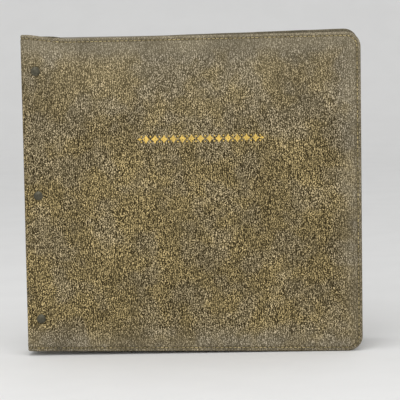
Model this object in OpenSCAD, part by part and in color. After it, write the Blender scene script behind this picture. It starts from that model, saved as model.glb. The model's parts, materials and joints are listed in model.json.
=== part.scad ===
// Post-bound scrapbook album in a sewn leather cover, standing on its tail edge.
// +X runs from the spine to the fore-edge, the front cover faces -Y, and +Z runs from tail to head.
// The origin is the centre of the bounding box at the tail.

/* [Covers] */
// Width from the spine fold to the fore-edge
cover_w = 344; // [343:1:400]
// Height from tail to head
cover_h = 322; // [315:1:380]
// Radius of the two fore-edge corners
corner_r = 15; // [5:1:25]
// Thickness of the outer leather
leather_t = 1.2; // [0.8:0.1:1.6]
// Thickness of the stiff boards inside the leather
board_t = 2.5; // [1.5:0.1:3]
// Width of the leather border turned in over the inside of each board
turn_in_w = 12; // [8:1:20]
// Thickness of the turned-in border
turn_in_t = 1; // [0.8:0.1:1.4]
// Thickness of the lining sheets
lining_t = 0.6; // [0.3:0.1:0.7]
// Angle by which the rear cover stands away from the leaves
splay = 8; // [4:1:20]

/* [Binding] */
// Width of the stiff binding strip beside the spine
strip_w = 27; // [24:1:27]
// Radius of the two folds along the spine
fold_r = 4; // [3:0.5:5]
// Distance from the spine fold to the axis that a cover turns about
hinge_x = 28; // [28:0.5:29]
// Distance from the spine fold to the inner edge of a cover board
board_x = 37; // [36:1:38]
// Gap left in the leather on each side of a hinge axis
hinge_clear = 0.3; // [0.2:0.05:0.3]

/* [Stitching] */
// Distance from the edge of the leather to the seam
seam_inset = 3.5; // [3:0.5:5]
// Width of the thread
thread_w = 0.6; // [0.4:0.1:0.8]
// Height of the thread above the leather
thread_proud = 0.25; // [0.1:0.05:0.3]

/* [Leaves] */
// Width of a card leaf
leaf_w = 297; // [250:1:297]
// Height of a card leaf and its stub
leaf_h = 305; // [280:1:305]
// Thickness of a card leaf
leaf_t = 0.8; // [0.5:0.1:0.8]
// Thickness of a stub, which sets the spacing of the leaves
leaf_pitch = 2.4; // [2.4:0.1:3]
// Distance from the spine fold to the edge of the stubs
stub_x = 30.4; // [29:0.1:30.4]
// Gap between the stubs and the spine's lining
stub_clear = 0.2; // [0.1:0.1:1]
// Distance from the spine fold to the axis that the leaves turn about
leaf_hinge_x = 31; // [31:0.1:32]
// Length of linen between the leaf's axis and the card
linen_gap = 8; // [8:0.5:9]
// Width of linen glued on the card
linen_lap = 8; // [6:1:15]
// Thickness of the linen
linen_t = 0.2; // [0.1:0.05:0.2]

/* [Binding posts] */
// Distance from the spine fold to the posts
post_x = 15; // [13:0.5:17]
// Spacing of the posts
post_spacing = 127; // [100:1:130]
// Diameter of the post and screw heads
head_d = 9.4; // [8:0.2:10]
// Height of the heads
head_h = 1.4; // [1:0.1:1.8]
// Outer diameter of a post
post_d = 5; // [5:0.1:5.5]
// Diameter of a screw's shank
shank_d = 3.5; // [3:0.1:3.6]
// Length of a screw's shank
shank_l = 13; // [8:1:20]
// Diameter of the punched holes
hole_d = 5.4; // [5.4:0.1:6]
// Width of the slot in a screw head
slot_w = 1.1; // [0.8:0.1:1.4]
// Depth of the slot in a screw head
slot_depth = 0.7; // [0.4:0.1:0.8]

/* [Gilt ornament] */
// Width of the stamped band
band_w = 128; // [60:1:200]
// Height of the stamped band
band_h = 9; // [5:1:20]
// Height of the band's centre above the tail
band_z = 218; // [100:1:290]
// Distance from the spine fold to the band's centre
band_x = 182; // [140:1:240]
// Number of lozenges in the band
band_count = 13; // [5:2:21]
// Thickness of the foil
foil_t = 0.1; // [0.05:0.05:0.2]

/* [Hidden] */
$fn = 64;
leaf_count = 12;

cover_t = leather_t + board_t + turn_in_t;
total_t = 2 * cover_t + leaf_count * leaf_pitch;
post_heights = [for (step = [-1 : 1]) cover_h / 2 + step * post_spacing];
stub_x0 = cover_t + stub_clear;
leaf_x0 = leaf_hinge_x + linen_gap;
leaf_z0 = (cover_h - leaf_h) / 2;
post_l = total_t - 1;
bore_d = shank_d + 0.1;
bore_l = shank_l + 2;

// The rear cover's fore-edge is the rearmost point, and the post heads are the foremost.
depth_max = total_t + (cover_w - hinge_x) * sin(splay);
centre = [cover_w / 2, (depth_max - head_h) / 2, 0];

post_names = ["top", "middle", "bottom"];
function two_digits(i) = str(i < 10 ? "0" : "", i);
function numbered(word) = [for (i = [1 : leaf_count]) str(word, "_", two_digits(i))];

// ---- Colours

leather_colour = [0.46, 0.42, 0.30];
lining_colour = [0.25, 0.23, 0.18];
board_colour = [0.55, 0.52, 0.47];
thread_colour = [0.24, 0.21, 0.14];
card_colour = [0.93, 0.90, 0.82];
linen_colour = [0.86, 0.83, 0.74];
post_colour = [0.30, 0.30, 0.27];
foil_colour = [0.85, 0.65, 0.25];

// ---- Shared shapes, drawn with the spine fold at x = 0, the front at y = 0 and the tail at z = 0

// Moves a piece from the drawing origin to the origin of the part.
module place() {
    translate(-centre) children();
}

// A flat outline in X and Z, made solid from y0 to y1.
module slab(y0, y1) {
    translate([0, y1, 0]) rotate([90, 0, 0]) linear_extrude(y1 - y0) children();
}

// A cover's outline from x0 to the fore-edge, drawn in by inset on its three free sides.
module cover_outline(x0, inset) {
    r = corner_r - inset > 0 ? corner_r - inset : 0.5;
    x1 = cover_w - inset;
    z1 = cover_h - inset;
    translate([x0, inset]) square([x1 - r - x0, z1 - inset]);
    translate([x0, inset + r]) square([x1 - x0, z1 - inset - 2 * r]);
    for (z = [inset + r, z1 - r]) translate([x1 - r, z]) circle(r);
}

// The section of the spine and its two strips, drawn in by inset and ending at x1.
module spine_section(inset, x1) {
    r = fold_r - inset > 0 ? fold_r - inset : 0.1;
    y1 = total_t - inset;
    translate([inset + r, inset]) square([x1 - inset - r, y1 - inset]);
    translate([inset, inset + r]) square([x1 - inset, y1 - inset - 2 * r]);
    for (y = [inset + r, y1 - r]) translate([inset + r, y]) circle(r);
}

// The holes for the three posts, right through the binding.
module post_holes() {
    for (z = post_heights)
        translate([post_x, -1, z]) rotate([-90, 0, 0]) cylinder(h = total_t + 2, d = hole_d);
}

// A low domed head on z = 0.
module domed_head() {
    sphere_r = (pow(head_d / 2, 2) + pow(head_h, 2)) / (2 * head_h);
    intersection() {
        translate([0, 0, head_h - sphere_r]) sphere(sphere_r, $fn = 96);
        cylinder(h = head_h + 1, d = head_d);
    }
}

// Turns a piece drawn as part of a closed front cover into the splayed rear one.
module at_rear() {
    translate([hinge_x, total_t, 0]) rotate([0, 0, splay]) mirror([0, 1, 0])
        translate([-hinge_x, 0, 0]) children();
}

// ---- Binding

module binding_leather() {
    color(leather_colour) place() difference() {
        union() {
            linear_extrude(cover_h) difference() {
                spine_section(0, hinge_x - hinge_clear);
                spine_section(leather_t, hinge_x);
            }
            for (z = [0, cover_h - leather_t])
                translate([0, 0, z]) linear_extrude(leather_t) difference() {
                    spine_section(leather_t / 2, strip_w);
                    translate([cover_t, cover_t]) square([strip_w, total_t - 2 * cover_t]);
                }
        }
        post_holes();
    }
}

module spine_board() {
    color(board_colour) place() translate([leather_t, fold_r, leather_t])
        cube([board_t, total_t - 2 * fold_r, cover_h - 2 * leather_t]);
}

module strip_board(y) {
    color(board_colour) place() difference() {
        translate([fold_r, y, leather_t]) cube([strip_w - fold_r, board_t, cover_h - 2 * leather_t]);
        post_holes();
    }
}

module binding_lining() {
    outer = cover_t - turn_in_t;
    color(lining_colour) place() difference() {
        translate([outer, outer, leather_t])
            cube([strip_w - outer, total_t - 2 * outer, cover_h - 2 * leather_t]);
        translate([cover_t, cover_t, 0]) cube([strip_w, total_t - 2 * cover_t, cover_h]);
        post_holes();
    }
}

module binding_stitching() {
    seam_x0 = fold_r + 2;
    seam_l = hinge_x - 1 - seam_x0;
    color(thread_colour) place()
        for (y = [-thread_proud, total_t], z = [seam_inset, cover_h - seam_inset - thread_w])
            translate([seam_x0, y, z]) cube([seam_l, thread_proud, thread_w]);
}

// ---- Covers, each drawn as the closed front cover

module cover_leather() {
    color(leather_colour) difference() {
        union() {
            slab(0, leather_t) cover_outline(hinge_x + hinge_clear, 0);
            slab(leather_t, cover_t) cover_outline(board_x, 0);
        }
        slab(leather_t, leather_t + board_t) cover_outline(board_x - 1, leather_t);
        slab(leather_t + board_t, cover_t + 1) cover_outline(board_x - 1, turn_in_w);
    }
}

module cover_board() {
    color(board_colour) slab(leather_t, leather_t + board_t) cover_outline(board_x, leather_t);
}

module cover_lining() {
    color(lining_colour)
        slab(leather_t + board_t, leather_t + board_t + lining_t) cover_outline(board_x, turn_in_w);
}

module cover_stitching() {
    color(thread_colour) for (y = [-thread_proud, cover_t])
        slab(y, y + thread_proud) difference() {
            cover_outline(board_x, seam_inset);
            cover_outline(board_x - 1, seam_inset + thread_w);
        }
}

// A stamped band of lozenges with a dot between each two, and a pointed leaf at each end.
module front_ornament() {
    pitch = band_w / (band_count + 1);
    last = (band_count - 1) / 2;
    color(foil_colour) place() slab(-foil_t, 0) translate([band_x, band_z]) {
        for (i = [-last : last]) translate([i * pitch, 0]) lozenge(pitch * 0.52, band_h);
        for (i = [-last - 0.5 : last + 0.5]) translate([i * pitch, 0]) circle(d = pitch * 0.18);
        for (side = [-1, 1]) translate([side * (last + 0.85) * pitch, 0])
            lozenge(pitch * 0.5, band_h * 0.3);
    }
}

module lozenge(width, height) {
    polygon([[-width / 2, 0], [0, -height / 2], [width / 2, 0], [0, height / 2]]);
}

// ---- Posts and screws

module post(z) {
    color(post_colour) place() translate([post_x, 0, z]) rotate([-90, 0, 0]) {
        rotate([180, 0, 0]) domed_head();
        difference() {
            cylinder(h = post_l, d = post_d);
            translate([0, 0, post_l - bore_l]) cylinder(h = bore_l + 1, d = bore_d);
        }
    }
}

module screw(z) {
    color(post_colour) place() translate([post_x, total_t, z]) rotate([-90, 0, 0]) {
        difference() {
            domed_head();
            translate([-slot_w / 2, -head_d / 2, head_h - slot_depth])
                cube([slot_w, head_d, slot_depth + 1]);
        }
        translate([0, 0, -shank_l]) cylinder(h = shank_l, d = shank_d);
    }
}

// ---- Leaves, counted from the front

function leaf_y(i) = cover_t + (i - 0.5) * leaf_pitch;

module stub(i) {
    color(card_colour) place() difference() {
        translate([stub_x0, leaf_y(i) - leaf_pitch / 2, leaf_z0])
            cube([stub_x - stub_x0, leaf_pitch, leaf_h]);
        post_holes();
    }
}

module leaf(i) {
    color(card_colour) place()
        translate([leaf_x0, leaf_y(i) - leaf_t / 2, leaf_z0]) cube([leaf_w, leaf_t, leaf_h]);
}

module linen_hinge(i) {
    color(linen_colour) place()
        translate([leaf_hinge_x + hinge_clear, leaf_y(i) - leaf_t / 2 - linen_t, leaf_z0])
            cube([linen_gap - hinge_clear + linen_lap, linen_t, leaf_h]);
}

// ---- Nodes

binding_leather();
binding_lining();
binding_stitching();
spine_board();
strip_board(leather_t);  // front_strip_board
strip_board(total_t - leather_t - board_t);  // rear_strip_board

place() cover_leather();  // front_leather
place() cover_board();  // front_board
place() cover_lining();  // front_lining
place() cover_stitching();  // front_stitching
front_ornament();

place() at_rear() cover_leather();  // rear_leather
place() at_rear() cover_board();  // rear_board
place() at_rear() cover_lining();  // rear_lining
place() at_rear() cover_stitching();  // rear_stitching

for (k = [0 : 2]) {
    z = post_heights[2 - k];
    post(z);
    screw(z);
}

for (i = [1 : leaf_count]) {
    stub(i);
    leaf(i);
    linen_hinge(i);
}
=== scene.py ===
import json
import math

import bmesh
import bpy
from mathutils import Matrix, Vector, noise


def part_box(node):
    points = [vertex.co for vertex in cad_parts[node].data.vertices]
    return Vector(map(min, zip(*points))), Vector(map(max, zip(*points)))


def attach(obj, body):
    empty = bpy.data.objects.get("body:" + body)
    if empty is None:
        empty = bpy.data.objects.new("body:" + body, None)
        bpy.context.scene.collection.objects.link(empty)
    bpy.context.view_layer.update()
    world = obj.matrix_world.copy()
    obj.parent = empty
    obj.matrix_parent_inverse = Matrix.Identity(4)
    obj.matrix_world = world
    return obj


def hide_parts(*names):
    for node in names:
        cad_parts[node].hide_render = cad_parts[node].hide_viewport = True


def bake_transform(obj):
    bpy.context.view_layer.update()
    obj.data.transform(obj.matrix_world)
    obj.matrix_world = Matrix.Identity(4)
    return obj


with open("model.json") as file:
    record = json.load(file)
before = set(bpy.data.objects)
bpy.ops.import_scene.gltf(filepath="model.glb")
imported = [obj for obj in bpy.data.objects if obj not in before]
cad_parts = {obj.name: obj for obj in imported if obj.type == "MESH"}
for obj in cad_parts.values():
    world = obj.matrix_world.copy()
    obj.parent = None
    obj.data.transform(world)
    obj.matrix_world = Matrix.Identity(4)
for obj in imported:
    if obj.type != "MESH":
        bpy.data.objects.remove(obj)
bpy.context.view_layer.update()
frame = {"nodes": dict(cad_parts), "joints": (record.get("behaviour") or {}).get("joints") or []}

bl_info = {
    "name": "Post-Bound Scrapbook Album",
    "version": (1, 0, 0),
    "blender": (4, 5, 0),
    "location": "View3D > Sidebar > Album",
    "description": "Builds the hides, seams, linings, leaves and posts of an album around its frame",
    "category": "Object",
}

# ---------------------------------------------------------------------------------------------
# Sizes taken from the frame, in metres. Drawing coordinates: x from the spine, depth from the
# outer face of a cover inwards, z from the tail.

MM = 0.001
JOINTS = {joint["name"]: joint for joint in frame["joints"]}

COVER_LOW, COVER_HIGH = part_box("front_leather")
BOARD_LOW, BOARD_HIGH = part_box("front_board")
STUB_LOW, STUB_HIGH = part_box("stub_01")

SPINE_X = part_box("binding_leather")[0].x
FRONT_Y = COVER_LOW.y
REAR_Y = JOINTS["rear_cover_hinge"]["pos_m"][1]
COVER_W = COVER_HIGH.x - SPINE_X
COVER_H = COVER_HIGH.z
COVER_T = COVER_HIGH.y - COVER_LOW.y
BOARD_T = BOARD_HIGH.y - BOARD_LOW.y
LEATHER_T = BOARD_LOW.y - COVER_LOW.y
TOTAL_T = REAR_Y - FRONT_Y
STRIP_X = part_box("front_strip_board")[1].x - SPINE_X
BOARD_X = BOARD_LOW.x - SPINE_X
HINGE_X = JOINTS["front_cover_hinge"]["pos_m"][0] - SPINE_X
LEAF_HINGE_X = JOINTS["page_01_hinge"]["pos_m"][0] - SPINE_X
SPLAY = math.radians(-JOINTS["rear_cover_hinge"]["range_deg"][0])
POSTS = ("top", "middle", "bottom")
POST_X = JOINTS["screw_top_turn"]["pos_m"][0] - SPINE_X
POST_HEIGHTS = {name: JOINTS[f"screw_{name}_turn"]["pos_m"][2] for name in POSTS}
LEAVES = [f"{number:02d}" for number in range(1, 13)]

# ---------------------------------------------------------------------------------------------
# Settings that a user would change


def length_of(name, description, millimetres):
    """A length that a user can change."""
    return bpy.props.FloatProperty(
        name=name, description=description, default=millimetres * MM, unit="LENGTH")


def colour_of(name, description, red, green, blue):
    """A colour that a user can change."""
    return bpy.props.FloatVectorProperty(
        name=name, description=description, subtype="COLOR", size=4, default=(red, green, blue, 1))


class AlbumHideSettings(bpy.types.PropertyGroup):
    """Shape of the leather"""

    skin: length_of("Skin", "Thickness of the leather", 0.9)
    corner: length_of("Corner", "Radius of the fore-edge corners", 15)
    turn_in: length_of("Turn-in", "Width of the border turned over the boards", 12)
    rolled_edge: length_of("Rolled edge", "Radius of the leather rolled over a board's edge", 1.7)
    groove: length_of("Seam groove", "Depth that the seam pulls the leather in by", 0.55)
    valley: length_of("Hinge valley", "Depth of the valley over a hinge", 0.35)
    dent: length_of("Post dent", "Depth that a post head pulls the leather in by", 0.9)
    flare: length_of("Head flare", "Height by which the strip's corner has curled at the head", 2.9)


class AlbumSeamSettings(bpy.types.PropertyGroup):
    """Shape of the stitches"""

    inset: length_of("Inset", "Distance of the seam from the edge", 3.6)
    stitch: length_of("Stitch", "Length of a stitch with its hole", 4.4)
    thread: length_of("Thread", "Thickness of the thread", 0.85)


class AlbumLeafSettings(bpy.types.PropertyGroup):
    """Shape of the leaves"""

    corner: length_of("Corner", "Radius of a leaf's fore-edge corners", 3)
    bow: length_of("Bow", "How far a leaf bows out of its plane", 0.6)
    slack: length_of("Linen slack", "How far the free linen wrinkles", 0.35)


class AlbumStudioSettings(bpy.types.PropertyGroup):
    """Lights and ground of the stage"""

    key: bpy.props.FloatProperty(
        name="Key", description="Power of the soft light in front", default=14, unit="POWER")
    top: bpy.props.FloatProperty(
        name="Top", description="Power of the soft light above", default=4.5, unit="POWER")
    world: bpy.props.FloatProperty(
        name="Surroundings", description="Strength of the even light all round", default=0.76)
    lean: bpy.props.FloatProperty(
        name="Lean", description="Angle by which the album leans on its fore-edge corner",
        default=math.radians(0.8), subtype="ANGLE")
    floor: colour_of("Floor", "Colour of the floor and the backdrop", 0.81, 0.81, 0.805)


class AlbumColours(bpy.types.PropertyGroup):
    """Colours of the finishes"""

    hide_olive: colour_of("Hide, olive", "Yellow-olive of the rubbed leather", 0.276, 0.211, 0.087)
    # This grey is also painted over the upper part of the hide as painted light from above
    hide_grey: colour_of("Hide, grey", "Grey of the faded patches", 0.258, 0.220, 0.143)
    # The pit colour is also painted as shade in the seam groove and where the thread goes into its holes
    hide_pit: colour_of("Hide, pits", "Dark wax left in the grain's pits", 0.026, 0.016, 0.001)
    lining: colour_of("Lining", "Skiver leather inside the covers", 0.085, 0.066, 0.038)
    thread: colour_of("Thread", "Waxed thread of the seams", 0.46, 0.37, 0.18)
    card: colour_of("Card", "Card of the leaves and stubs", 0.84, 0.79, 0.66)
    linen: colour_of("Linen", "Linen hinges of the leaves", 0.70, 0.64, 0.50)
    board: colour_of("Board", "Grey pasteboard", 0.27, 0.25, 0.21)
    metal: colour_of("Metal", "Antique gunmetal of the posts and screws", 0.082, 0.076, 0.052)
    gilt: colour_of("Gilt", "Stamped foil", 0.78, 0.53, 0.12)


# ---------------------------------------------------------------------------------------------
# Shape of the hides: every point of a hide, seam, lining or stamp goes through hide_point

FRONT, REAR = "front", "rear"
SEED = {FRONT: 3.1, REAR: 8.7}
FOLD_R = 5 * MM
SPINE_HALF = TOTAL_T / 2 - FOLD_R
FLAT_FROM = SPINE_HALF + FOLD_R * math.pi / 2
GAP_T = 2.2 * MM            # leather and lining over a hinge, where there is no board
GROOVE_W = 0.75 * MM
SWELL_BESIDE_SEAM = 0.16 * MM
SWELL_AT, SWELL_W = 2.6 * MM, 1.8 * MM
VALLEY_W = 3.6 * MM
PUCKER = 1.2 * MM           # dip of the head and tail edges beside the binding strip
PUCKER_AT, PUCKER_W = STRIP_X + 6 * MM, 4.5 * MM
POST_HEAD, POST_DENT = 4.2 * MM, 8.5 * MM
POST_RIM, POST_RIM_AT, POST_RIM_W = 0.14 * MM, 9.6 * MM, 2.2 * MM
SLOW_WAVE, SLOW_LENGTH = 0.30 * MM, 85 * MM
FAST_WAVE, FAST_LENGTH = 0.10 * MM, 22 * MM
LEVEL_TO = 14 * MM          # the waves fade out over this length of the spine
# Rise of the head edge near the spine and at the fore-edge, because the covers aren't quite square
HEAD_SKEW = {FRONT: (-1.2 * MM, 1.9 * MM), REAR: (-2.8 * MM, 2.6 * MM)}
SKEW_FROM, SKEW_SPAN = 55 * MM, 270 * MM
SKEW_FADES = (24 * MM, 52 * MM)
CURL_FRONT = (5 * MM, 33 * MM)      # the strip's curl at the head ends between these, on the front
CURL_REAR = 20 * MM                 # and starts here on the rear
CURL_H = 34 * MM
RAGGED, RAGGED_LENGTH, RAGGED_H = 0.22 * MM, 26 * MM, 9 * MM


def ease(low, high, value):
    """0 before low, 1 after high, and a smooth step between them."""
    t = min(1.0, max(0.0, (value - low) / (high - low)))
    return t * t * (3 - 2 * t)


def bell(value, centre, width):
    """A smooth bump of height 1."""
    return math.exp(-((value - centre) / width) ** 2)


def along(x):
    """Length along the hide, from the middle of the spine, of a point x from the spine."""
    return FLAT_FROM + x - FOLD_R


def from_spine(s):
    """Distance from the spine of a point s along the hide; below the fold's radius on the spine."""
    return s - FLAT_FROM + FOLD_R


HIDE_END = along(COVER_W)


def edge_distance(s, z, corner):
    """Distance of a point on the hide from its head, tail or fore-edge."""
    to_end = HIDE_END - s
    to_side = min(z, COVER_H - z)
    if to_end < corner and to_side < corner:
        return corner - math.hypot(corner - to_end, corner - to_side)
    return min(to_end, to_side)


def wave(seed, s, z, length):
    """Smooth random value from -1 to 1 that changes over the given length."""
    return noise.noise(Vector((s / length, z / length, seed)))


def sink(side, s, z, hide, seam):
    """How far the outer face lies below the flat one, from seams, posts, hinge and wear."""
    x = from_spine(s)
    edge = edge_distance(s, z, hide.corner)
    seed = SEED[side]
    depth = hide.groove * bell(edge, seam.inset, GROOVE_W) * (1 + 0.5 * wave(seed + 1, s, z, 9 * MM))
    depth -= SWELL_BESIDE_SEAM * bell(edge, seam.inset + SWELL_AT, SWELL_W)
    depth += hide.valley * bell(x, (STRIP_X + BOARD_X) / 2, VALLEY_W)
    depth += PUCKER * bell(x, PUCKER_AT, PUCKER_W) * ease(9 * MM, 1 * MM, min(z, COVER_H - z))
    for height in POST_HEIGHTS.values():
        reach = math.hypot(x - POST_X, z - height)
        depth += hide.dent * (1 - ease(POST_HEAD, POST_DENT, reach))
        depth -= POST_RIM * bell(reach, POST_RIM_AT, POST_RIM_W)
    fade = ease(0, LEVEL_TO, s)
    depth += fade * SLOW_WAVE * wave(seed, s, z, SLOW_LENGTH)
    depth += fade * FAST_WAVE * wave(seed + 5, s, z, FAST_LENGTH)
    return depth


def lift(side, s, z, hide):
    """How far a point rises because the head edge isn't quite square: it grows from the tail up."""
    x = from_spine(s)
    low, high = HEAD_SKEW[side]
    skew = low + (high - low) * (x - SKEW_FROM) / SKEW_SPAN
    skew *= ease(*SKEW_FADES, x)
    signed = s if side == FRONT else -s
    fall = ease(along(CURL_FRONT[0]), along(CURL_FRONT[1]), signed)
    curl = ease(-along(CURL_REAR), SPINE_HALF, signed) * (1 - fall)
    curl *= ease(COVER_H - CURL_H, COVER_H, z)
    near_head = ease(COVER_H - RAGGED_H, COVER_H, z)
    ragged = RAGGED * wave(1.7, s, 0, RAGGED_LENGTH) * near_head * ease(0, LEVEL_TO, s)
    return skew * z / COVER_H + hide.flare * curl + ragged


def folded(s, depth):
    """Drawing x and y of a point of the closed front half, wrapped round the spine's fold."""
    if s <= SPINE_HALF:
        return depth, TOTAL_T / 2 - s
    if s < FLAT_FROM:
        turn = (s - SPINE_HALF) / FOLD_R
        radius = FOLD_R - depth
        return FOLD_R - radius * math.cos(turn), FOLD_R - radius * math.sin(turn)
    return from_spine(s), depth


def placed(side, x, y, z):
    """Row-frame point of a drawing point; the rear half is mirrored and splayed at its hinge."""
    if side == FRONT:
        return Vector((SPINE_X + x, FRONT_Y + y, z))
    hinge = Vector((SPINE_X + HINGE_X, REAR_Y, 0))
    turn = SPLAY * ease(STRIP_X, BOARD_X, x)
    return hinge + Matrix.Rotation(turn, 3, "Z") @ (Vector((SPINE_X + x, REAR_Y - y, z)) - hinge)


def hide_point(side, s, depth, z, hide, seam):
    """Row-frame point of the hide, depth below its flat outer face."""
    x = from_spine(s)
    in_gap = ease(STRIP_X + 0.3 * MM, STRIP_X + 1.8 * MM, x) * ease(BOARD_X, BOARD_X - 1.5 * MM, x)
    share = depth / COVER_T
    depth *= 1 + (GAP_T / COVER_T - 1) * in_gap
    depth += sink(side, s, z, hide, seam) * (1 - min(1.0, share))
    fx, fy = folded(s, depth)
    return placed(side, fx, fy, z + lift(side, s, z, hide))


# ---------------------------------------------------------------------------------------------
# Mesh helpers

JOIN = 1e-6                 # points nearer than this are one
ALONG, ACROSS, UP = 0, 1, 2


def finished(bm, name, material, smooth_angle=40):
    """Turns a bmesh into a shaded object at the origin."""
    mesh = bpy.data.meshes.new(name)
    bm.to_mesh(mesh)
    bm.free()
    mesh.materials.append(material)
    mesh.shade_smooth()
    mesh.set_sharp_from_angle(angle=math.radians(smooth_angle))
    piece = bpy.data.objects.new(name, mesh)
    bpy.context.scene.collection.objects.link(piece)
    return piece


def cut(bm, axis, places, dist=JOIN, clear_inner=False):
    """Adds a line of edges across the whole mesh at each place along an axis."""
    normal = Vector((0, 0, 0))
    normal[axis] = 1
    for place in places:
        bmesh.ops.bisect_plane(
            bm, geom=bm.verts[:] + bm.edges[:] + bm.faces[:], dist=dist, plane_co=normal * place,
            plane_no=normal, clear_inner=clear_inner)


def points_of(geom):
    return [part for part in geom if isinstance(part, bmesh.types.BMVert)]


def steps(low, high, size):
    """Places from low to high, no further than size apart."""
    count = max(1, math.ceil((high - low) / size))
    return [low + (high - low) * i / count for i in range(count + 1)]


def flat_panel(bm, s0, s1, z0, z1, corner):
    """A face in s and z, facing outwards, with two rounded corners at s1. Returns it."""
    outline = [bm.verts.new(place) for place in ((s0, 0, z0), (s1, 0, z0), (s1, 0, z1), (s0, 0, z1))]
    bm.faces.new(outline)
    bmesh.ops.bevel(
        bm, geom=outline[1:3], offset=corner, offset_type="OFFSET", segments=12, profile=0.5,
        affect="VERTICES", material=-1)
    return bm.faces[:][0]


def thickened(bm, face, depth):
    """Extrudes the face inwards by depth, so that the solid is closed."""
    back = bmesh.ops.extrude_face_region(bm, geom=[face], use_keep_orig=True)["geom"]
    bmesh.ops.translate(bm, verts=points_of(back), vec=(0, depth, 0))
    bmesh.ops.recalc_face_normals(bm, faces=bm.faces)


def widest(bm, direction):
    """The largest face that looks the given way along Y."""
    bm.normal_update()
    return max((f for f in bm.faces if f.normal.y * direction > 0.9), key=lambda f: f.calc_area())


# ---------------------------------------------------------------------------------------------
# Hides

OVERRUN = -20 * MM          # the panel starts past the spine's middle, where it is cut off square
SEAM_RINGS = (-0.9, -0.35, 0.35, 0.9, 2.6, 5.0)
POST_FIELD = 12 * MM        # half size of the finer mesh round a post
BORDER_W = 34 * MM
FINE, SMALL, COARSE = 1 * MM, 1.5 * MM, 5 * MM


def hinge_blend(piece):
    """Bakes the transform of a piece between the binding and a cover into its mesh."""
    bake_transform(piece)


def make_hide(side, hide, seam, material):
    """One half of the wraparound hide, from the middle of the spine to the fore-edge."""
    bm = bmesh.new()
    face = flat_panel(bm, OVERRUN, HIDE_END, 0, COVER_H, hide.corner)
    thickened(bm, face, COVER_T)
    rims = [
        edge for edge in bm.edges
        if abs(edge.verts[0].co.y - edge.verts[1].co.y) < JOIN
        and max(vertex.co.x for vertex in edge.verts) > OVERRUN + 10 * JOIN]
    bmesh.ops.bevel(
        bm, geom=rims, offset=hide.rolled_edge, offset_type="OFFSET", segments=4, profile=0.5,
        affect="EDGES", material=-1, clamp_overlap=True)
    done = hide.rolled_edge
    for ring in SEAM_RINGS:
        target = seam.inset + ring * MM
        bmesh.ops.inset_region(bm, faces=[widest(bm, -1)], thickness=target - done, use_even_offset=True)
        done = target
    bmesh.ops.inset_region(
        bm, faces=[widest(bm, 1)], thickness=hide.turn_in - hide.rolled_edge, use_even_offset=True)
    bmesh.ops.delete(bm, geom=[widest(bm, 1)], context="FACES")
    cut(bm, ALONG, [0], clear_inner=True)
    cut(bm, ALONG, steps(SPINE_HALF, FLAT_FROM, FINE))
    cut(bm, ALONG, steps(along(FOLD_R), along(POST_X + POST_FIELD), SMALL)[1:])
    cut(bm, ALONG, steps(along(STRIP_X), along(BOARD_X + 2 * MM), FINE)[1:])
    cut(bm, ALONG, steps(along(BOARD_X + 2 * MM), HIDE_END - 2 * MM, COARSE)[1:])
    for height in POST_HEIGHTS.values():
        cut(bm, UP, steps(height - POST_FIELD, height + POST_FIELD, SMALL))
    fields = [h + shift for h in sorted(POST_HEIGHTS.values()) for shift in (-POST_FIELD, POST_FIELD)]
    stops = [2 * MM, *fields, COVER_H - 2 * MM]
    for low, high in zip(stops[::2], stops[1::2]):
        cut(bm, UP, steps(low, high, COARSE)[1:-1])
    border = bm.verts.layers.float.new("border")
    groove = bm.verts.layers.float.new("groove")
    within = bm.verts.layers.float.new("inside")
    for vertex in bm.verts:
        s, depth, z = vertex.co
        edge = edge_distance(s, z, hide.corner)
        outside = 1 - ease(0, 0.5 * MM, depth)
        vertex[border] = 1 - ease(0, BORDER_W, edge)
        # The groove mask carries the painted shade along the seam
        vertex[groove] = outside * bell(edge, seam.inset, GROOVE_W)
        # The inside mask marks the turned-in border inside the covers, which the look darkens as painted
        # shade
        vertex[within] = ease(0.4 * COVER_T, 0.9 * COVER_T, depth)
        vertex.co = hide_point(side, s, depth, z, hide, seam)
    if side == REAR:
        bmesh.ops.reverse_faces(bm, faces=bm.faces)
    bm.normal_update()
    bmesh.ops.solidify(bm, geom=bm.faces[:], thickness=hide.skin)
    piece = finished(bm, f"{side}_hide", material, 50)
    hinge_blend(piece)
    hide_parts(f"{side}_leather", "binding_leather")
    return piece


# ---------------------------------------------------------------------------------------------
# Seams


def seam_at(distance, corner, inset):
    """Place and heading in s and z, at a distance along the seam from the spine's middle at the tail."""
    run = HIDE_END - corner
    bend = (corner - inset) * math.pi / 2
    rise = COVER_H - 2 * corner
    if distance < run:
        return distance, inset, 0.0
    distance -= run
    if distance < bend:
        turn = distance / (corner - inset)
        return run + (corner - inset) * math.sin(turn), corner - (corner - inset) * math.cos(turn), turn
    distance -= bend
    if distance < rise:
        return HIDE_END - inset, corner + distance, math.pi / 2
    distance -= rise
    if distance < bend:
        turn = distance / (corner - inset)
        return (run + (corner - inset) * math.cos(turn),
                COVER_H - corner + (corner - inset) * math.sin(turn), math.pi / 2 + turn)
    return run - (distance - bend), COVER_H - inset, math.pi


RINGS, SIDES = 8, 8         # faces along a stitch and round it
UNEVEN, SLANT = 0.25, 0.22
HOLE_SHARE = 0.03           # what is left of a stitch's section in its hole


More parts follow.
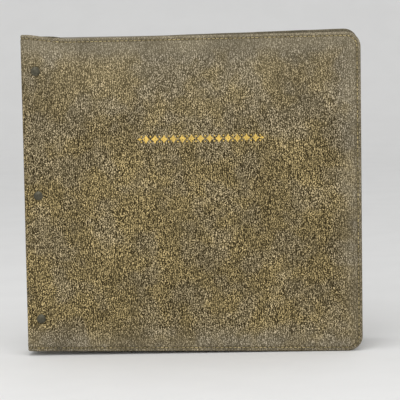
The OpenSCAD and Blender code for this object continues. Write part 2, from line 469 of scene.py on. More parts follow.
def add_thread(bm, tuck, side, inside, hide, seam):
    """A closed thread along the seam, which swells into a stitch and dips into a hole by turns."""
    arc = (hide.corner - seam.inset) * math.pi
    whole = 2 * (HIDE_END - hide.corner) + arc + COVER_H - 2 * hide.corner
    skipped = along(2 * FOLD_R) if inside else 0
    count = round((whole - 2 * skipped) / seam.stitch)
    half = (whole - 2 * skipped) / count / 2
    strip = bmesh.ops.create_grid(bm, x_segments=count * RINGS, y_segments=SIDES, size=0.5)["verts"]
    for vertex in strip:
        forward = (vertex.co.x + 0.5) * count
        around = (vertex.co.y + 0.5) * math.tau
        index = min(int(forward + 1e-4), count - 1)
        t = 2 * (forward - index) - 1
        at_end = forward < 1e-4 or forward > count - 1e-4
        seed = index * 1.37 + (400 if inside else 0)
        radius = seam.thread / 2 * (1 + UNEVEN * noise.noise(Vector((seed, 7.5, 0))))
        swell = 0 if at_end else math.sqrt(max(HOLE_SHARE, 1 - (1 - HOLE_SHARE) * t * t))
        s, z, heading = seam_at(skipped + (forward * 2) * half, hide.corner, seam.inset)
        slant = SLANT * noise.noise(Vector((seed, 2.5, 0))) * half * t
        across = math.cos(around) * radius * swell + slant * (1 - abs(t))
        rise = radius * (math.sin(around) * swell + 0.30 - 1.35 * t ** 4)
        # The tuck value carries the painted shade at the holes into the thread's material
        vertex[tuck] = abs(t)
        vertex.co = hide_point(
            side, s - math.sin(heading) * across, COVER_T + rise if inside else -rise,
            z + math.cos(heading) * across, hide, seam)


def make_seam(side, hide, seam, material):
    """The stitches round one half of the cover, on its outer and its inner face."""
    bm = bmesh.new()
    tuck = bm.verts.layers.float.new("tuck")
    for inside in (False, True):
        add_thread(bm, tuck, side, inside, hide, seam)
    bmesh.ops.remove_doubles(bm, verts=bm.verts, dist=2e-6)
    bmesh.ops.recalc_face_normals(bm, faces=bm.faces)
    piece = finished(bm, f"{side}_seam", material, 80)
    hinge_blend(piece)
    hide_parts(f"{side}_stitching", "binding_stitching")
    return piece


# ---------------------------------------------------------------------------------------------
# Linings


def make_lining(side, hide, seam, material):
    """The lining inside one half, from the middle of the spine to the turned-in border."""
    bm = bmesh.new()
    tucked = hide.turn_in - 1 * MM
    corner, thickness, margin, mesh_size = 3 * MM, 0.6 * MM, 16 * MM, 12 * MM
    face = flat_panel(bm, 0, HIDE_END - tucked, tucked, COVER_H - tucked, corner)
    thickened(bm, face, thickness)
    cut(bm, ALONG, steps(SPINE_HALF, FLAT_FROM, FINE))
    cut(bm, ALONG, steps(along(STRIP_X), along(BOARD_X + 2 * MM), FINE))
    cut(bm, ALONG, steps(along(BOARD_X + 2 * MM), HIDE_END - margin, mesh_size)[1:])
    cut(bm, UP, steps(margin, COVER_H - margin, mesh_size))
    seed = 21.3 if side == FRONT else 34.1
    for vertex in bm.verts:
        s, depth, z = vertex.co
        depth += LEATHER_T + BOARD_T
        depth += 0.12 * MM * wave(seed, s, z, 60 * MM) * ease(FLAT_FROM, HIDE_END / 2, s)
        vertex.co = hide_point(side, s, depth, z, hide, seam)
    if side == REAR:
        bmesh.ops.reverse_faces(bm, faces=bm.faces)
    piece = finished(bm, f"{side}_skiver", material, 50)
    hinge_blend(piece)
    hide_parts(f"{side}_lining", "binding_lining")
    return piece


# ---------------------------------------------------------------------------------------------
# Leaves and their linen hinges

LEAF_MESH = 14 * MM
IN_STUB = 1.2 * MM          # length of linen glued inside the stub
FREE_LINEN = 8 * MM


def make_leaf(number, leaf, material):
    """A card leaf with rounded fore-edge corners and a slight bow of its own."""
    low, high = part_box(f"leaf_{number}")
    bm = bmesh.new()
    face = flat_panel(bm, low.x, high.x, low.z, high.z, leaf.corner)
    thickened(bm, face, high.y - low.y)
    cut(bm, ALONG, steps(low.x, high.x, LEAF_MESH)[1:-1])
    cut(bm, UP, steps(low.z, high.z, LEAF_MESH)[1:-1])
    seed = float(number) * 4.7
    for vertex in bm.verts:
        free = ease(low.x + 10 * MM, high.x, vertex.co.x)
        bow = leaf.bow * noise.noise(Vector((vertex.co.x * 7, vertex.co.z * 9, seed)))
        vertex.co.y += low.y + bow * free
        vertex.co.x += 0.12 * MM * noise.noise(Vector((vertex.co.z * 40, seed, 0))) * free
    piece = finished(bm, f"leaf_card_{number}", material, 50)
    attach(piece, f"page_{number}")
    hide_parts(f"leaf_{number}")
    return piece


def make_linen_hinge(number, leaf, material):
    """The linen strip that comes out of a stub, wrinkles a little over the hinge, and is glued along the
    leaf.
    """
    low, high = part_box(f"linen_hinge_{number}")
    stub_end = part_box(f"stub_{number}")[1].x
    start = stub_end - IN_STUB
    bm = bmesh.new()
    corners = ((start, low.z), (high.x, low.z), (high.x, high.z), (start, high.z))
    face = bm.faces.new([bm.verts.new((x, low.y, z)) for x, z in corners])
    thickened(bm, face, high.y - low.y)
    axis_x = SPINE_X + LEAF_HINGE_X
    cut(bm, ALONG, steps(stub_end, axis_x + 3 * MM, 0.3 * MM))
    cut(bm, ALONG, steps(axis_x + 3 * MM, high.x - 0.8 * MM, 2 * MM)[1:])
    cut(bm, UP, steps(low.z, high.z, 8 * MM)[1:-1])
    seed = float(number) * 2.9
    glued = SPINE_X + LEAF_HINGE_X + FREE_LINEN
    for vertex in bm.verts:
        slack = ease(axis_x, axis_x + 4 * MM, vertex.co.x) * ease(glued, glued - 4 * MM, vertex.co.x)
        vertex.co.y += leaf.slack * slack * noise.noise(Vector((vertex.co.x * 60, vertex.co.z * 45, seed)))
        ragged = ease(high.x - 1 * MM, high.x, vertex.co.x)
        vertex.co.x += 0.25 * MM * ragged * noise.noise(Vector((vertex.co.z * 160, seed, 0)))
    piece = finished(bm, f"linen_strip_{number}", material, 60)
    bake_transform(piece)
    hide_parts(f"linen_hinge_{number}")
    return piece


# ---------------------------------------------------------------------------------------------
# Posts and screws

BARREL_R, BORE_R, BORE_DEPTH = 2.5 * MM, 1.8 * MM, 15 * MM
SHANK_R, THREAD_PITCH, THREAD_DEPTH = 1.7 * MM, 0.5 * MM, 0.22 * MM
SLOT_W, SLOT_DEPTH = 1.1 * MM, 0.7 * MM


def turned(profile, axis_x, base_y, axis_z, direction, segments=48):
    """A closed solid turned about an axis along Y; the profile is radius and height, pole to pole."""
    bm = bmesh.new()
    points = [bm.verts.new((radius, height, 0)) for radius, height in profile]
    edges = [bm.edges.new(pair) for pair in zip(points, points[1:])]
    bmesh.ops.spin(
        bm, geom=points + edges, cent=(0, 0, 0), axis=(0, 1, 0), dvec=(0, 0, 0),
        angle=math.tau, steps=segments, use_merge=True)
    bmesh.ops.remove_doubles(bm, verts=bm.verts, dist=JOIN)
    bmesh.ops.recalc_face_normals(bm, faces=bm.faces)
    facing = Matrix.Identity(4) if direction > 0 else Matrix.Rotation(math.pi, 4, "Z")
    bmesh.ops.transform(bm, matrix=facing, verts=bm.verts)
    bmesh.ops.translate(bm, verts=bm.verts, vec=(axis_x, base_y, axis_z))
    return bm


def head_profile(radius, height, sunk):
    """A shallow dome with a rounded rim, sunk a little below the leather's flat face."""
    dome = [(radius * math.sin(t), height * math.cos(t)) for t in (0, 0.22, 0.45, 0.7, 0.95, 1.18)]
    rim = [(radius, 0.12 * height), (radius * 0.995, -sunk * 0.45), (radius * 0.95, -sunk * 0.85)]
    return [(0.0, height)] + dome[1:] + rim + [(radius * 0.86, -sunk)]


def make_post(name, hide, material):
    """A binding post: a domed head in front and a hollow barrel through the album."""
    low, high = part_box(f"post_{name}")
    radius = (high.x - low.x) / 2
    head_h = FRONT_Y - low.y
    end = -(high.y - FRONT_Y)
    floor = end + BORE_DEPTH
    profile = head_profile(radius, head_h, hide.dent)
    profile += [(BARREL_R, -hide.dent), (BARREL_R, end + 0.3 * MM), (BARREL_R - 0.3 * MM, end)]
    profile += [(BORE_R, end), (BORE_R, floor), (0.0, floor)]
    bm = turned(profile, (low.x + high.x) / 2, FRONT_Y, POST_HEIGHTS[name], -1)
    piece = finished(bm, f"binding_post_{name}", material, 35)
    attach(piece, "binding")
    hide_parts(f"post_{name}")
    return piece


def cut_slot(bm, width, floor):
    """Sinks a slot along Z into the highest faces along Y, down to the floor."""
    cut(bm, ALONG, (-width / 2, width / 2), dist=JOIN / 10)
    cut(bm, ACROSS, [floor], dist=JOIN / 10)
    above = []
    for face in bm.faces:
        middle = face.calc_center_median()
        if abs(middle.x) < width / 2 and middle.y > floor + JOIN:
            above.append(face)
    sunk = bmesh.ops.extrude_face_region(bm, geom=above)["geom"]
    for point in points_of(sunk):
        point.co.y = floor
    bmesh.ops.remove_doubles(bm, verts=bm.verts, dist=JOIN)
    bmesh.ops.recalc_face_normals(bm, faces=bm.faces)


def make_screw(name, hide, material):
    """A slotted screw whose shank goes into the post's barrel from behind."""
    low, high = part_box(f"screw_{name}")
    radius = (high.x - low.x) / 2
    head_h = high.y - REAR_Y
    end = low.y - REAR_Y
    profile = head_profile(radius, head_h, hide.dent)
    profile += [(SHANK_R, -hide.dent)]
    turns = round((-end - 4 * MM) / THREAD_PITCH)
    for turn in range(turns):
        start = -3 * MM - turn * THREAD_PITCH
        profile += [(SHANK_R, start), (SHANK_R - THREAD_DEPTH, start - THREAD_PITCH / 2)]
    profile += [(SHANK_R, end + 0.5 * MM), (SHANK_R - 0.5 * MM, end), (0.0, end)]
    bm = turned(profile, 0, 0, 0, 1)
    cut_slot(bm, SLOT_W, head_h - SLOT_DEPTH)
    bmesh.ops.translate(bm, verts=bm.verts, vec=((low.x + high.x) / 2, REAR_Y, POST_HEIGHTS[name]))
    piece = finished(bm, f"post_screw_{name}", material, 35)
    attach(piece, f"screw_{name}")
    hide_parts(f"screw_{name}")
    return piece


# ---------------------------------------------------------------------------------------------
# Gilt ornament

LOZENGES = 13
FOIL_T = 0.12 * MM


def hollow_lozenge(width, height):
    """Outline of a lozenge whose sides curve inwards."""
    side, top = Vector((width / 2, 0)), Vector((0, height / 2))
    tips = [side, top, -side, -top]
    outline = []
    for tip, following in zip(tips, tips[1:] + tips[:1]):
        waist = (tip + following) * 0.30
        for t in (0, 0.25, 0.5, 0.75):
            outline.append(tip * (1 - t) ** 2 + waist * 2 * t * (1 - t) + following * t ** 2)
    return outline


def dot(size):
    """Outline of a small round dot."""
    turns = [math.tau * corner / 12 for corner in range(12)]
    return [Vector((math.cos(turn), math.sin(turn))) * size / 2 for turn in turns]


def make_ornament(hide, seam, material):
    """A stamped band of hollow lozenges with dots between them, thin foil that follows the leather."""
    low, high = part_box("front_ornament")
    centre = (low + high) / 2
    pitch = (high.x - low.x) / (LOZENGES + 1)
    height = high.z - low.z
    bm = bmesh.new()
    marks = []
    for index in range(LOZENGES):
        shift = (index - (LOZENGES - 1) / 2) * pitch
        marks.append((shift, 0, hollow_lozenge(pitch * 0.86, height)))
    for index in range(LOZENGES + 1):
        shift = (index - LOZENGES / 2) * pitch
        marks.append((shift, height * 0.30, dot(pitch * 0.17)))
        marks.append((shift, -height * 0.30, dot(pitch * 0.17)))
    for direction in (-1, 1):
        shift = direction * (high.x - low.x - pitch * 0.62) / 2
        marks.append((shift, 0, hollow_lozenge(pitch * 0.6, height * 0.4)))
    for shift, up, outline in marks:
        x = centre.x - SPINE_X + shift
        face = bm.faces.new([
            bm.verts.new((along(x + point.x), -FOIL_T, centre.z + up + point.y)) for point in outline])
        back = bmesh.ops.extrude_face_region(bm, geom=[face], use_keep_orig=True)["geom"]
        bmesh.ops.translate(bm, verts=points_of(back), vec=(0, 2 * FOIL_T, 0))
    for vertex in bm.verts:
        s, depth, z = vertex.co
        vertex.co = hide_point(FRONT, s, depth, z, hide, seam)
    bmesh.ops.recalc_face_normals(bm, faces=bm.faces)
    piece = finished(bm, "gilt_band", material, 30)
    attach(piece, "front_cover")
    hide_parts("front_ornament")
    return piece


# ---------------------------------------------------------------------------------------------
# Shader helpers


def node(tree, kind, inputs=None, **settings):
    """Adds a shader node; an input is a value or another node's output."""
    made = tree.nodes.new(kind)
    for key, value in settings.items():
        setattr(made, key, value)
    for key, value in (inputs or {}).items():
        if isinstance(value, bpy.types.NodeSocket):
            tree.links.new(value, made.inputs[key])
        else:
            made.inputs[key].default_value = value
    return made


def math_of(tree, operation, first, second=0.0):
    return node(tree, "ShaderNodeMath", {0: first, 1: second}, operation=operation).outputs[0]


def times(tree, first, second):
    return math_of(tree, "MULTIPLY", first, second)


def sum_of(tree, total, *others):
    for other in others:
        total = math_of(tree, "ADD", total, other)
    return total


def blend_of(tree, factor, first, second, mode="MIX"):
    """Mixes two colours."""
    return node(
        tree, "ShaderNodeMix", {0: factor, 6: first, 7: second}, data_type="RGBA", blend_type=mode,
        clamp_factor=True).outputs[2]


def tinted(tree, colour, shade):
    return blend_of(tree, 1.0, colour, shade, "MULTIPLY")


def band_of(tree, value, low, high, out_low=0.0, out_high=1.0):
    """Smooth step of a value from low to high."""
    return node(
        tree, "ShaderNodeMapRange", {0: value, 1: low, 2: high, 3: out_low, 4: out_high},
        interpolation_type="SMOOTHSTEP").outputs[0]


def noise_of(tree, vector, size, detail=0.0, roughness=0.5, distortion=0.0):
    """Noise whose blotches are about size across, in metres."""
    return node(
        tree, "ShaderNodeTexNoise",
        {"Vector": vector, "Scale": 0.5 / size, "Detail": detail, "Roughness": roughness,
         "Distortion": distortion}).outputs[0]


def stretched(tree, vector, scale):
    return node(tree, "ShaderNodeMapping", {"Vector": vector, "Scale": scale}).outputs[0]


def own_space(tree):
    return node(tree, "ShaderNodeTexCoord").outputs["Object"]


def attribute_of(tree, name):
    return node(tree, "ShaderNodeAttribute", attribute_name=name).outputs["Fac"]


KINDS = {"vector": "NodeSocketVector", "colour": "NodeSocketColor", "value": "NodeSocketFloat"}


def new_group(name, inputs, outputs):
    """A shader node group; returns it with its inputs and a function that links its outputs."""
    group = bpy.data.node_groups.new(name, "ShaderNodeTree")
    for direction, sockets in (("INPUT", inputs), ("OUTPUT", outputs)):
        for label, kind in sockets.items():
            group.interface.new_socket(name=label, in_out=direction, socket_type=KINDS[kind])
    inlet = group.nodes.new("NodeGroupInput")
    outlet = group.nodes.new("NodeGroupOutput")

    def give(**results):
        for label, result in results.items():
            group.links.new(result, outlet.inputs[label.replace("_", " ")])

    return group, inlet.outputs, give


def use_group(tree, name, build, **inputs):
    """Adds a shared group to a material, building the group on its first use."""
    group = bpy.data.node_groups.get(name) or build(name)
    made = tree.nodes.new("ShaderNodeGroup")
    made.node_tree = group
    for label, value in inputs.items():
        socket = made.inputs[label.replace("_", " ")]
        if isinstance(value, bpy.types.NodeSocket):
            tree.links.new(value, socket)
        else:
            socket.default_value = value
    return made.outputs


# ---------------------------------------------------------------------------------------------
# Effects shared by several materials


PEBBLE, CREASE, LANE, SWAY = 1.25 * MM, 0.62 * MM, 2.15 * MM, 0.95 * MM
DRIFT, DRIFT_LENGTH = 3.5 * MM, 7 * MM
FLATTEN = 0.90


def build_grain(name):
    """Pebbled leather grain: height from 0 in the creases to 1, with masks of pits and ridges."""
    tree, inlet, give = new_group(
        name, {"Vector": "vector", "Size": "value"},
        {"Height": "value", "Pits": "value", "Ridges": "value"})
    shrink = math_of(tree, "DIVIDE", 1.0, inlet["Size"])
    place = node(tree, "ShaderNodeVectorMath", {0: inlet["Vector"], 3: shrink}, operation="SCALE")
    drift = node(
        tree, "ShaderNodeTexNoise",
        {"Vector": place.outputs[0], "Scale": 0.5 / DRIFT_LENGTH, "Detail": 0.0})
    pull = node(
        tree, "ShaderNodeVectorMath", {0: drift.outputs["Color"], 3: DRIFT}, operation="SCALE")
    bent = node(
        tree, "ShaderNodeVectorMath", {0: place.outputs[0], 1: pull.outputs[0]}, operation="ADD")
    spot = stretched(tree, bent.outputs[0], (1, 1, FLATTEN))
    pebbles = node(
        tree, "ShaderNodeTexVoronoi", {"Vector": spot, "Scale": 1 / PEBBLE, "Randomness": 0.90},
        feature="F1")
    crown = band_of(tree, pebbles.outputs["Distance"], 0.60, 0.16)
    random = node(tree, "ShaderNodeSeparateColor", {0: pebbles.outputs["Color"]}).outputs[0]
    worms = noise_of(tree, spot, CREASE, 0.0, 0.5, 0.3)
    worms = band_of(tree, worms, 0.32, 0.68)
    axes = node(tree, "ShaderNodeSeparateXYZ", {0: spot}).outputs
    lane = math_of(tree, "DIVIDE", math_of(tree, "ADD", axes["X"], axes["Y"]), LANE / math.tau)
    sway = times(tree, noise_of(tree, spot, SWAY), 10.0)
    lanes = math_of(tree, "SINE", math_of(tree, "ADD", lane, sway))
    lanes = band_of(tree, lanes, -0.8, 0.8)
    height = sum_of(
        tree, times(tree, crown, 0.36), times(tree, random, 0.12), times(tree, worms, 0.22),
        times(tree, lanes, 0.30))
    give(Height=height, Pits=band_of(tree, height, 0.56, 0.28), Ridges=band_of(tree, height, 0.50, 0.80))
    return tree


def build_weave(name):
    """Plain weave in the X-Z plane: height of the threads and a slow change from thread to thread."""
    tree, inlet, give = new_group(
        name, {"Vector": "vector", "Thread": "value"}, {"Height": "value", "Slub": "value"})
    axes = node(tree, "ShaderNodeSeparateXYZ", {0: inlet["Vector"]}).outputs
    rate = math_of(tree, "DIVIDE", math.pi, inlet["Thread"])
    across = times(tree, axes["X"], rate)
    upward = times(tree, axes["Z"], rate)
    warp = times(tree, math_of(tree, "SINE", across), math_of(tree, "COSINE", upward))
    weft = times(tree, math_of(tree, "COSINE", across), math_of(tree, "SINE", upward))
    height = math_of(tree, "MAXIMUM", math_of(tree, "ABSOLUTE", warp), math_of(tree, "ABSOLUTE", weft))
    long_way = noise_of(tree, stretched(tree, inlet["Vector"], (1, 1, 0.08)), 0.6 * MM, 1.0)
    short_way = noise_of(tree, stretched(tree, inlet["Vector"], (0.08, 1, 1)), 0.6 * MM, 1.0)
    give(Height=height, Slub=math_of(tree, "MAXIMUM", long_way, short_way))
    return tree


def build_fibre(name):
    """Paper and board: felted fibres, specks and slow clouding."""
    tree, inlet, give = new_group(
        name, {"Vector": "vector"}, {"Height": "value", "Specks": "value", "Clouds": "value"})
    spot = inlet["Vector"]
    fibres = noise_of(tree, stretched(tree, spot, (1, 1, 0.25)), 0.35 * MM, 3.0, 0.65, 0.4)
    felt = noise_of(tree, spot, 1.4 * MM, 2.0, 0.6)
    specks = band_of(tree, noise_of(tree, spot, 0.8 * MM, 1.0, 0.5, 0.3), 0.66, 0.74)
    clouds = noise_of(tree, spot, 34 * MM, 3.0, 0.55)
    height = sum_of(tree, times(tree, fibres, 0.6), times(tree, felt, 0.4))
    give(Height=height, Specks=specks, Clouds=clouds)
    return tree


FADED_PATCH, TONE_PATCH, WAX_PATCH = 15 * MM, 24 * MM, 6 * MM
# Painted light: between these heights the hide is painted greyer towards the head, standing in for the
# light from above
PAINTED_TOP_LIGHT_HEIGHTS = (0.17, 0.32)         # the hide turns grey between these
CALM_HEIGHTS = (0.21, 0.32)         # and its grain loses contrast between these
RUBBED_TINT = (2.7, 2.7, 3.1, 1)


def build_hide_look(name):
    """Rubbed, waxed hide: colour, roughness and height, faded at the borders, with painted shade in the
    seam groove and on the turned-in border inside the covers, and painted light greying it towards the
    head.
    """
    tree, inlet, give = new_group(
        name,
        {"Vector": "vector", "Olive": "colour", "Grey": "colour", "Pit": "colour", "Border": "value",
         "Groove": "value", "Inside": "value"},
        {"Color": "colour", "Roughness": "value", "Height": "value"})
    spot = inlet["Vector"]
    grain = use_group(tree, "Hide grain", build_grain, Vector=spot, Size=1.0)
    high = node(tree, "ShaderNodeSeparateXYZ", {0: spot}).outputs["Z"]
    # Faded patches and the border are the hide's own wear; the band by height added below is painted
    # light, greying the top as the light from above would
    fading_and_top_light = band_of(tree, noise_of(tree, spot, FADED_PATCH, 2.0, 0.55), 0.42, 0.62)
    fading_and_top_light = sum_of(
        tree, times(tree, fading_and_top_light, 0.42), times(tree, inlet["Border"], 0.75),
        band_of(tree, high, *PAINTED_TOP_LIGHT_HEIGHTS, 0.0, 0.45))
    base = blend_of(tree, fading_and_top_light, inlet["Olive"], inlet["Grey"])
    tone = noise_of(tree, spot, TONE_PATCH, 2.0, 0.6)
    shade = band_of(tree, tone, 0.30, 0.70, 0.80, 1.16)
    base = tinted(tree, base, shade)
    drift = noise_of(tree, spot, WAX_PATCH, 2.0, 0.6)
    pits = times(tree, grain["Pits"], band_of(tree, drift, 0.30, 0.60, 0.86, 1.0))
    pits = times(tree, pits, band_of(tree, inlet["Border"], 0.0, 1.0, 1.0, 0.66))
    calm = band_of(tree, high, *CALM_HEIGHTS, 1.0, 0.70)
    pits = times(tree, pits, calm)
    rubbed = tinted(tree, base, RUBBED_TINT)
    # Fewer rubbed ridges on the turned-in border inside the covers: partly the less worn leather there,
    # partly painted shade between the covers
    wear = times(
        tree, band_of(tree, inlet["Inside"], 0.0, 1.0, 1.0, 0.35),
        band_of(tree, inlet["Border"], 0.0, 1.0, 1.0, 0.55))
    wear = times(tree, wear, calm)
    colour = blend_of(tree, times(tree, grain["Ridges"], wear), base, rubbed)
    colour = blend_of(tree, pits, colour, inlet["Pit"])
    # Painted shade: the turned-in border inside the covers is darkened to 62%, standing in for the shade
    # between the covers
    colour = tinted(tree, colour, band_of(tree, inlet["Inside"], 0.0, 1.0, 1.0, 0.62))
    # Painted shade: the seam groove is darkened towards the pit colour, as shade would fall in the recess
    painted_seam_shade = times(tree, inlet["Groove"], 0.95)
    colour = blend_of(tree, painted_seam_shade, colour, inlet["Pit"])
    rough = band_of(tree, grain["Height"], 0.45, 0.75, 0.74, 0.50)
    give(Color=colour, Roughness=rough, Height=grain["Height"])
    return tree


# ---------------------------------------------------------------------------------------------
# Materials


def new_material(name):
    """An empty material with its shader and output linked; returns the material, tree and shader."""
    material = bpy.data.materials.new(name)
    material.use_nodes = True
    tree = material.node_tree
    tree.nodes.clear()
    shader = tree.nodes.new("ShaderNodeBsdfPrincipled")
    output = tree.nodes.new("ShaderNodeOutputMaterial")
    tree.links.new(shader.outputs[0], output.inputs["Surface"])
    return material, tree, shader


def feed(tree, shader, colour, roughness):
    tree.links.new(colour, shader.inputs["Base Color"])
    tree.links.new(roughness, shader.inputs["Roughness"])


def bump(tree, shader, height, distance, strength=1.0):
    relief = node(
        tree, "ShaderNodeBump", {"Height": height, "Distance": distance, "Strength": strength})
    tree.links.new(relief.outputs[0], shader.inputs["Normal"])


def hide_material(colours):
    material, tree, shader = new_material("Waxed hide")
    look = use_group(
        tree, "Hide look", build_hide_look, Vector=own_space(tree), Olive=colours.hide_olive,
        Grey=colours.hide_grey, Pit=colours.hide_pit, Border=attribute_of(tree, "border"),
        Groove=attribute_of(tree, "groove"), Inside=attribute_of(tree, "inside"))
    feed(tree, shader, look["Color"], look["Roughness"])
    shader.inputs["Specular IOR Level"].default_value = 0.22
    bump(tree, shader, look["Height"], 0.9 * MM, 0.7)
    return material


def thread_material(colours):
    material, tree, shader = new_material("Waxed thread")
    spot = own_space(tree)
    strand = noise_of(tree, spot, 0.7 * MM, 2.0, 0.6)
    worn = band_of(tree, noise_of(tree, spot, 6 * MM, 1.0), 0.35, 0.65, 0.70, 1.35)
    colour = tinted(tree, colours.thread, worn)
    colour = blend_of(tree, band_of(tree, strand, 0.35, 0.60, 0.5, 0.0), colour, colours.hide_pit)
    # Painted shade: each stitch is darkened towards the pit colour at its ends, where the thread goes into
    # its hole
    tucked = band_of(tree, attribute_of(tree, "tuck"), 0.62, 0.92)
    colour = blend_of(tree, tucked, colour, colours.hide_pit)
    feed(tree, shader, colour, band_of(tree, strand, 0.3, 0.7, 0.72, 0.50))
    bump(tree, shader, strand, 0.2 * MM, 0.6)
    return material


def lining_material(colours):
    material, tree, shader = new_material("Skiver lining")
    spot = own_space(tree)
    grain = use_group(tree, "Hide grain", build_grain, Vector=spot, Size=2.2)
    clouds = use_group(tree, "Fibre", build_fibre, Vector=spot)["Clouds"]
    tone = band_of(tree, clouds, 0.3, 0.7, 0.75, 1.3)
    colour = tinted(tree, colours.lining, tone)
    colour = blend_of(tree, times(tree, grain["Pits"], 0.6), colour, colours.hide_pit)
    feed(tree, shader, colour, band_of(tree, grain["Height"], 0.4, 0.8, 0.70, 0.52))
    bump(tree, shader, grain["Height"], 0.3 * MM, 0.5)
    return material


def card_material(colours, name, ply):
    """Card, with lines between its plies on the cut edges where ply is their thickness."""
    material, tree, shader = new_material(name)
    spot = own_space(tree)
    fibre = use_group(tree, "Fibre", build_fibre, Vector=spot)
    tone = band_of(tree, fibre["Clouds"], 0.3, 0.7, 0.90, 1.04)
    colour = tinted(tree, colours.card, tone)
    colour = blend_of(tree, times(tree, fibre["Specks"], 0.22), colour, colours.board)
    height = fibre["Height"]
    if ply:
        depth = node(tree, "ShaderNodeSeparateXYZ", {0: spot}).outputs["Y"]
        sheets = math_of(tree, "PINGPONG", depth, ply / 2)
        line = band_of(tree, sheets, 0.0, 0.16 * MM, 0.75, 0.0)
        colour = blend_of(tree, line, colour, colours.lining)
        height = math_of(tree, "SUBTRACT", height, line)
    feed(tree, shader, colour, band_of(tree, fibre["Height"], 0.3, 0.7, 0.92, 0.78))
    bump(tree, shader, height, 0.12 * MM, 0.5)
    return material


def linen_material(colours):
    material, tree, shader = new_material("Linen")
    spot = own_space(tree)
    weave = use_group(tree, "Weave", build_weave, Vector=spot, Thread=0.5 * MM)
    tone = band_of(tree, weave["Slub"], 0.35, 0.75, 0.72, 1.10)
    colour = tinted(tree, colours.linen, tone)
    gaps = band_of(tree, weave["Height"], 0.35, 0.10, 0.0, 0.55)
    colour = blend_of(tree, gaps, colour, colours.lining)
    feed(tree, shader, colour, band_of(tree, weave["Height"], 0.0, 1.0, 0.95, 0.80))
    shader.inputs["Sheen Weight"].default_value = 0.2
    bump(tree, shader, weave["Height"], 0.18 * MM, 0.7)
    return material


def board_material(colours):
    material, tree, shader = new_material("Pasteboard")
    fibre = use_group(tree, "Fibre", build_fibre, Vector=own_space(tree))
    tone = band_of(tree, fibre["Clouds"], 0.3, 0.7, 0.80, 1.2)
    colour = tinted(tree, colours.board, tone)
    colour = blend_of(tree, times(tree, fibre["Specks"], 0.5), colour, colours.hide_pit)
    feed(tree, shader, colour, band_of(tree, fibre["Height"], 0.3, 0.7, 0.95, 0.82))
    bump(tree, shader, fibre["Height"], 0.2 * MM, 0.6)
    return material


def metal_material(colours):
    """Antique gunmetal: dark, with a softly rubbed crown and faint scratches."""
    material, tree, shader = new_material("Antique gunmetal")
    spot = own_space(tree)
    rubbed = noise_of(tree, spot, 1.6 * MM, 3.0, 0.6)
    scratch = noise_of(tree, stretched(tree, spot, (1, 1, 0.12)), 0.25 * MM, 2.0, 0.6, 0.3)
    tone = band_of(tree, rubbed, 0.30, 0.70, 0.75, 1.35)
    colour = tinted(tree, colours.metal, tone)
    marks = band_of(tree, scratch, 0.62, 0.75, 0.0, 0.35)
    colour = blend_of(tree, marks, colour, colours.hide_grey)
    feed(tree, shader, colour, band_of(tree, rubbed, 0.3, 0.7, 0.48, 0.30))
    shader.inputs["Metallic"].default_value = 0.75
    bump(tree, shader, scratch, 0.05 * MM, 0.4)
    return material


def gilt_material(colours):
    """Foil pressed into the hide: bright on the ridges, broken by the deepest pits."""
    material, tree, shader = new_material("Stamped foil")
    spot = own_space(tree)
    grain = use_group(tree, "Hide grain", build_grain, Vector=spot, Size=1.0)
    tone = band_of(tree, noise_of(tree, spot, 4 * MM, 2.0), 0.3, 0.7, 0.82, 1.15)
    colour = tinted(tree, colours.gilt, tone)
    lost = band_of(tree, grain["Height"], 0.20, 0.12)
    colour = blend_of(tree, lost, colour, colours.hide_pit)
    tree.links.new(colour, shader.inputs["Base Color"])
    tree.links.new(band_of(tree, lost, 0.0, 1.0, 0.45, 0.0), shader.inputs["Metallic"])
    tree.links.new(band_of(tree, grain["Height"], 0.4, 0.8, 0.50, 0.32), shader.inputs["Roughness"])
    bump(tree, shader, grain["Height"], 0.5 * MM, 0.4)
    return material


def floor_material(studio):
    """Pale paper that is clear from its back, so that the album can be looked at from behind."""
    material, tree, shader = new_material("Paper sweep")
    fibre = use_group(tree, "Fibre", build_fibre, Vector=own_space(tree))
    tone = band_of(tree, fibre["Clouds"], 0.3, 0.7, 0.99, 1.01)
    colour = tinted(tree, studio.floor, tone)
    feed(tree, shader, colour, band_of(tree, fibre["Height"], 0.3, 0.7, 0.9, 0.8))
    bump(tree, shader, fibre["Height"], 0.05 * MM, 0.3)
    back = node(tree, "ShaderNodeNewGeometry").outputs["Backfacing"]
    clear = node(tree, "ShaderNodeBsdfTransparent").outputs[0]
    paper = node(tree, "ShaderNodeMixShader", {0: back, 1: shader.outputs[0], 2: clear}).outputs[0]
    output = next(part for part in tree.nodes if part.type == "OUTPUT_MATERIAL")
    tree.links.new(paper, output.inputs["Surface"])
    return material


def shared(name, build, *settings):
    """The material of that name, built on its first use."""
    return bpy.data.materials.get(name) or build(*settings)


# ---------------------------------------------------------------------------------------------
# Stage

SWEEP_HALF, SWEEP_FRONT, SWEEP_WALL, SWEEP_R, SWEEP_TOP = 6.0, -5.0, 3.2, 1.2, 5.0
SWEEP_STEPS = 16
KEY_PLACE, KEY_TARGET, KEY_SIZE = (-0.6, -2.4, 1.3), (0, 0, 0.16), (2.0, 1.6)
TOP_PLACE, TOP_TARGET, TOP_SIZE = (-0.05, -0.5, 1.25), (0, -0.15, 0), (1.1, 0.7)
CAMERA_PLACE = (0.1681, -2.2, 0.3952)
CAMERA_YAW, CAMERA_PITCH, CAMERA_ROLL = -4.231, -6.315, -0.904
LENS, SENSOR = 193.2, 36


